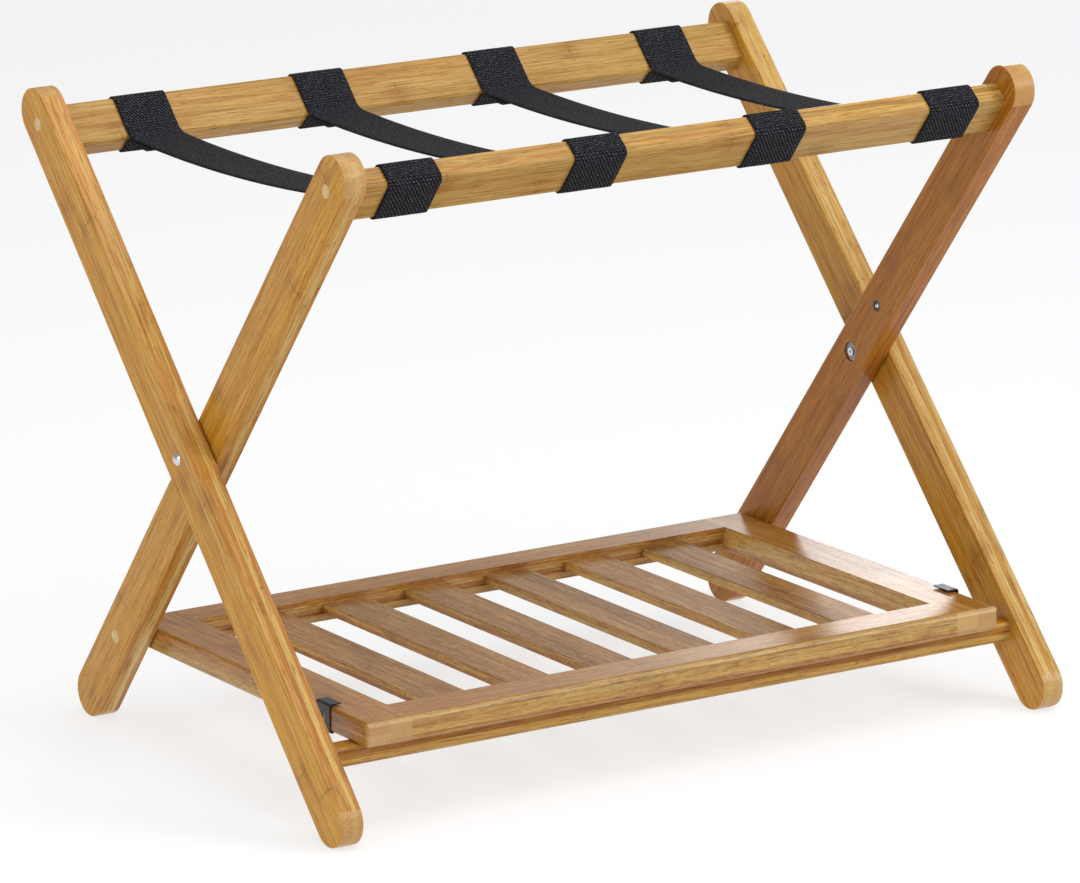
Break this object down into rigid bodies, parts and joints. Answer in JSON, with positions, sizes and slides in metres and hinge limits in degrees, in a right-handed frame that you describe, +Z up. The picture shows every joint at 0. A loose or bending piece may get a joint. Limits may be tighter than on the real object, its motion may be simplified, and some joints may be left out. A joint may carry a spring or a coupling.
{
  "type": "folding luggage rack",
  "caption": "Folding luggage rack of bamboo: crossed legs on bolts, webbing straps across two top rails and a hinged slatted shelf below.",
  "frame": {"origin": "centre of the footprint on the floor, straight below the crossing bolts of the legs", "axes": "+X along the rack, +Y towards the back, +Z up; the shelf hinge is at the back"},
  "size_m": [0.6852, 0.4826, 0.53],
  "materials": {
    "bamboo": "laminated bamboo under a satin lacquer",
    "bamboo_shelf": "pinkish-brown laminated bamboo under a satin lacquer",
    "wood_plug": "end-grain plug, sanded flush and lacquered",
    "webbing": "black woven polyester webbing",
    "bright_steel": "bright plated steel",
    "grey_steel": "dull zinc-plated steel",
    "black_steel": "black painted sheet steel"
  },
  "bodies": {
    "inner_frame": {"inner_leg_left": "bamboo", "inner_leg_right": "bamboo", "front_top_rail": "bamboo", "inner_leg_plugs": "wood_plug", "front_rail_screws": "bright_steel", "catch_case_left": "grey_steel", "catch_case_right": "grey_steel", "strap_1_front_loop": "webbing", "strap_2_front_loop": "webbing", "strap_3_front_loop": "webbing", "strap_4_front_loop": "webbing", "strap_1_span": "webbing", "strap_2_span": "webbing", "strap_3_span": "webbing", "strap_4_span": "webbing"},
    "outer_frame": {"outer_leg_left": "bamboo", "outer_leg_right": "bamboo", "back_top_rail": "bamboo", "front_stretcher": "bamboo", "outer_leg_plugs": "wood_plug", "back_rail_screws": "bright_steel", "pivot_bolt_left": "bright_steel", "pivot_bolt_right": "bright_steel", "leg_spacer_left": "grey_steel", "leg_spacer_right": "grey_steel", "pivot_washer_left": "grey_steel", "pivot_washer_right": "grey_steel", "pivot_nut_left": "bright_steel", "pivot_nut_right": "bright_steel", "strap_1_back_loop": "webbing", "strap_2_back_loop": "webbing", "strap_3_back_loop": "webbing", "strap_4_back_loop": "webbing"},
    "shelf": {"shelf_side_left": "bamboo_shelf", "shelf_side_right": "bamboo_shelf", "shelf_front_rail": "bamboo_shelf", "shelf_back_rail": "bamboo_shelf", "shelf_slat_1": "bamboo_shelf", "shelf_slat_2": "bamboo_shelf", "shelf_slat_3": "bamboo_shelf", "shelf_slat_4": "bamboo_shelf", "shelf_slat_5": "bamboo_shelf", "shelf_slat_6": "bamboo_shelf", "strike_clip_left": "black_steel", "strike_clip_right": "black_steel", "shelf_hinge_screws": "bright_steel"},
    "catch_ball_left": {"catch_ball_left": "bright_steel"},
    "catch_ball_right": {"catch_ball_right": "bright_steel"}
  },
  "joints": [
    {"name": "fold", "type": "hinge", "parent": "inner_frame", "child": "outer_frame", "pos_m": [0, 0, 0.258], "axis": [1, 0, 0], "range_deg": [0, 75], "deforming": ["strap_1_span", "strap_2_span", "strap_3_span", "strap_4_span"]},
    {"name": "shelf_swing", "type": "hinge", "parent": "inner_frame", "child": "shelf", "pos_m": [0, 0.14707, 0.0775], "axis": [-1, 0, 0], "range_deg": [0, 50.8]},
    {"name": "catch_left", "type": "slide", "parent": "inner_frame", "child": "catch_ball_left", "axis": [-1, 0, 0], "range_m": [0, 0.0012], "stiffness_N_per_m": 800, "springref_m": -0.002},
    {"name": "catch_right", "type": "slide", "parent": "inner_frame", "child": "catch_ball_right", "axis": [1, 0, 0], "range_m": [0, 0.0012], "stiffness_N_per_m": 800, "springref_m": -0.002}
  ]
}
